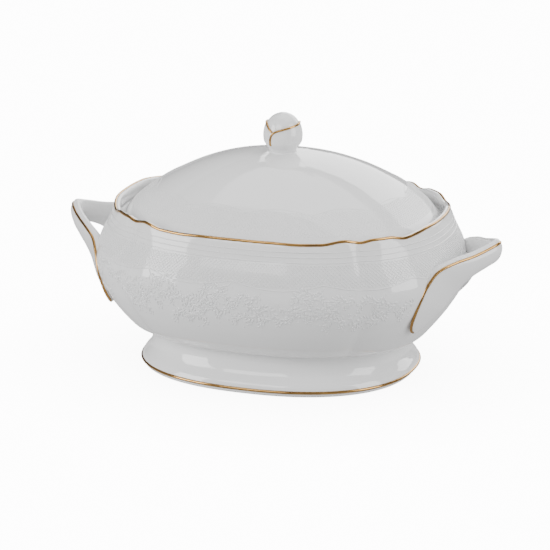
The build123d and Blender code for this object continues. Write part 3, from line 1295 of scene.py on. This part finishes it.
@dataclass(frozen=True)
class SoftBox:
    """One rectangular soft box, facing the tureen."""

    name: str
    place: Station
    size: Profile
    radiance: float

    def build(self) -> None:
        """Adds the box."""
        data = bpy.data.lights.new(self.name, "AREA")
        data.shape = "RECTANGLE"
        data.size, data.size_y = self.size
        data.energy = self.radiance * math.pi * data.size * data.size_y
        obj = link(bpy.data.objects.new(self.name, data))
        place = Vector(self.place)
        facing = (place - Vector((0, 0, 0.1))).to_track_quat("Z", "Y").to_matrix().to_4x4()
        obj.matrix_world = Matrix.Translation(place) @ facing


@dataclass
class Studio:
    """White sweep, soft light and the camera."""

    azimuth: float = 0.318
    elevation: float = 0.283
    roll: float = -0.009
    distance: float = 2.35
    aim_height: float = 0.068
    lens: float = 200.9
    shift_x: float = -0.0122
    backdrop: float = 20.0
    ambient: float = 0.15
    floor_glow: float = 13.5
    bounce: float = 0.8
    # Share of the floor's glow taken away in its painted shadow near the foot.
    painted_shadow_depth: float = 0.35
    floor_half: float = 6000.0
    glows: tuple[Glow, ...] = (
        Glow((0.0, 0.0, 1.0), 0.3, 1.0),
        Glow((-0.2, -1.0, 0.3), 0.2, 1.0),
    )
    boxes: tuple[SoftBox, ...] = (
        SoftBox("left_box", (-1.7, -1.3, 0.55), (1.0, 1.5), 9.5),
        SoftBox("right_box", (1.9, -0.2, 0.8), (1.1, 1.5), 7.0),
        SoftBox("top_box", (0.2, 0.6, 2.1), (2.6, 1.5), 2.2),
        SoftBox("back_box", (0.35, 2.2, 1.15), (2.6, 1.5), 4.2),
        SoftBox("front_box", (-0.5, -1.9, 1.4), (1.3, 0.8), 6.2),
    )

    def camera(self) -> None:
        """Adds the camera."""
        data = bpy.data.cameras.new("camera")
        data.lens = self.lens
        data.sensor_width = 36.0
        data.shift_x = self.shift_x
        data.clip_end = 20.0
        obj = link(bpy.data.objects.new("camera", data))
        away = Vector(
            (
                math.sin(self.azimuth) * math.cos(self.elevation),
                -math.cos(self.azimuth) * math.cos(self.elevation),
                math.sin(self.elevation),
            )
        )
        aim = Vector((0, 0, self.aim_height))
        facing = away.to_track_quat("Z", "Y").to_matrix().to_4x4()
        place = Matrix.Translation(aim + away * self.distance)
        obj.matrix_world = place @ facing @ Matrix.Rotation(-self.roll, 4, "Z")
        bpy.context.scene.camera = obj

    def room(self) -> None:
        """Adds the white room: a bright backdrop, and soft glows that light the tureen."""
        world = bpy.data.worlds.new("white_room")
        world.use_nodes = True
        nodes, links = world.node_tree.nodes, world.node_tree.links
        background = nodes["Background"]
        background.inputs["Color"].default_value = (1.0, 1.0, 1.0, 1.0)
        bpy.context.scene.world = world
        direction = nodes.new("ShaderNodeTexCoord").outputs["Generated"]

        def math_node(operation: str, first: object, second: object) -> bpy.types.NodeSocket:
            """One math node; its operands are sockets or numbers."""
            node = nodes.new("ShaderNodeMath")
            node.operation = operation
            for socket, value in zip(node.inputs, (first, second)):
                if isinstance(value, bpy.types.NodeSocket):
                    links.new(value, socket)
                else:
                    socket.default_value = value
            return node.outputs["Value"]

        total: object = self.ambient
        for glow in self.glows:
            along = nodes.new("ShaderNodeVectorMath")
            along.operation = "DOT_PRODUCT"
            along.inputs[1].default_value = Vector(glow.axis).normalized()
            links.new(direction, along.inputs[0])
            facing = math_node("MAXIMUM", along.outputs["Value"], 0.0)
            lobe = math_node("MULTIPLY", math_node("POWER", facing, glow.sharpness), glow.strength)
            total = math_node("ADD", total, lobe)
        seen = nodes.new("ShaderNodeLightPath").outputs["Is Camera Ray"]
        direct = math_node("MULTIPLY", seen, self.backdrop)
        indirect = math_node("MULTIPLY", math_node("SUBTRACT", 1.0, seen), total)
        links.new(math_node("ADD", direct, indirect), background.inputs["Strength"])

    def floor(self) -> None:
        """Adds the glowing white floor, with a painted shadow: ambient occlusion darkens its glow near the
        foot.
        """
        size = self.floor_half
        square = np.array([[-size, -size, 0], [size, -size, 0], [size, size, 0], [-size, size, 0]])
        floor = mesh_object("floor", square, [(0, 1, 2, 3)], smooth=False)
        material = bpy.data.materials.new("glowing_floor_painted_shadow")
        material.use_nodes = True
        nodes, links = material.node_tree.nodes, material.node_tree.links
        nodes.remove(nodes["Principled BSDF"])
        glow = nodes.new("ShaderNodeEmission")
        # Painted shadow: ambient occlusion darkens the glow that the camera sees on the floor near the foot.
        painted_shadow_ao = nodes.new("ShaderNodeAmbientOcclusion")
        painted_shadow_ao.samples = 8
        painted_shadow_ao.inputs["Distance"].default_value = 0.12
        shade = nodes.new("ShaderNodeMapRange")
        shade.inputs["To Min"].default_value = self.floor_glow * (1 - self.painted_shadow_depth)
        shade.inputs["To Max"].default_value = self.floor_glow
        links.new(painted_shadow_ao.outputs["AO"], shade.inputs["Value"])
        seen = nodes.new("ShaderNodeLightPath")
        pick = nodes.new("ShaderNodeMix")
        pick.inputs["A"].default_value = self.bounce
        links.new(seen.outputs["Is Camera Ray"], pick.inputs["Factor"])
        links.new(shade.outputs["Result"], pick.inputs["B"])
        links.new(pick.outputs["Result"], glow.inputs["Strength"])
        links.new(glow.outputs["Emission"], nodes["Material Output"].inputs["Surface"])
        floor.data.materials.append(material)

    def build(self) -> None:
        """Builds the room, its soft boxes, the floor and the camera."""
        self.room()
        for box in self.boxes:
            box.build()
        self.floor()
        self.camera()


def main() -> None:
    """Builds the tureen piece by piece, then the studio."""
    logging.basicConfig(level=logging.INFO, format="%(name)s: %(message)s")
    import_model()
    Studio().build()
    line_tree()
    bead_tree()
    palette = Palette.build()
    belly = Relief(
        name="bowl_relief",
        wall=BOWL_FORM,
        body=Body.BOWL,
        swags=12,
        net=(109.5, 91.0),
        swag_drop=5.0,
        borders=(118.2, 114.6, 111.0),
        tiers=(2.5, 11.0, 19.5),
        bare=66.0,
    )
    dome = Relief(
        name="lid_relief",
        wall=LID_DOME,
        body=Body.LID,
        swags=12,
        net=(113.0, 92.0),
        swag_drop=5.0,
        borders=(),
        cord=0.17,
        border=0.9,
    )
    handles = [Handle(side) for side in Side]
    for piece in [Bowl(), Foot(), RimGilding(), *handles, Lid(), Rosebud(), belly, dome]:
        piece.dress(palette)


if __name__ == "__main__":
    main()
